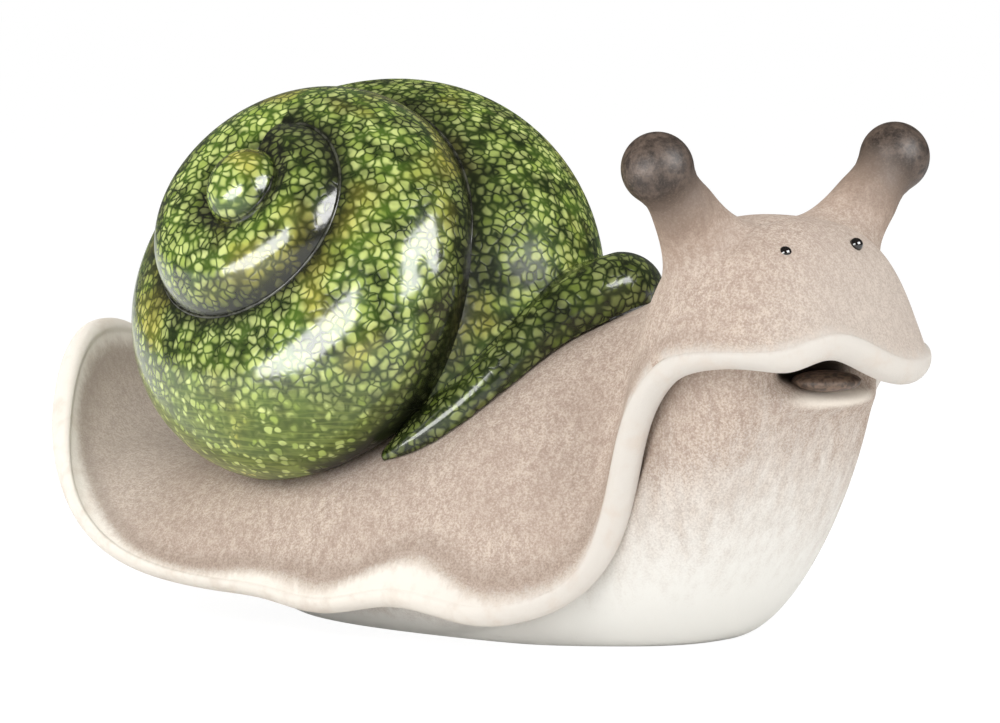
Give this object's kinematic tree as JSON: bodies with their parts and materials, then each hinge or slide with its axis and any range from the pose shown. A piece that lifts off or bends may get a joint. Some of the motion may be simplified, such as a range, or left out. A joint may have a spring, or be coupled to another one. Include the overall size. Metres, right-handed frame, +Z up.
{
  "type": "snail figurine",
  "caption": "Stoneware garden snail: sandy slab-built body with a cream rolled rim and turned head, bulbed eye stalks, and a green speckled coiled shell.",
  "frame": {"origin": "on the table, in the plane of the foot, under the middle of the body", "axes": "+X from tail to head, +Z up, +Y to the snail's left"},
  "size_m": [0.3626, 0.1704, 0.1949],
  "materials": {
    "body_stoneware": "matte sandy brown wash over cream, cream rim",
    "cream_slip": "matte cream slip, brown wash fading down from the lip",
    "bare_clay": "unglazed fired clay",
    "mouth_stain": "matte dark brown stain",
    "stalk_stoneware": "matte brown wash, darker grey-brown on the bulbs with a slight sheen",
    "eye_bead": "glossy black",
    "shell_glaze": "thick gloss glaze, yellow-green cells in a dark green web"
  },
  "bodies": {
    "root": {"mantle": "body_stoneware", "underbody": "cream_slip", "sole_plate": "bare_clay", "tongue": "mouth_stain", "right_eye_stalk": "stalk_stoneware", "left_eye_stalk": "stalk_stoneware", "right_eye": "eye_bead", "left_eye": "eye_bead", "shell_bed": "bare_clay", "shell_coil": "shell_glaze", "shell_lip": "shell_glaze"}
  },
  "joints": []
}
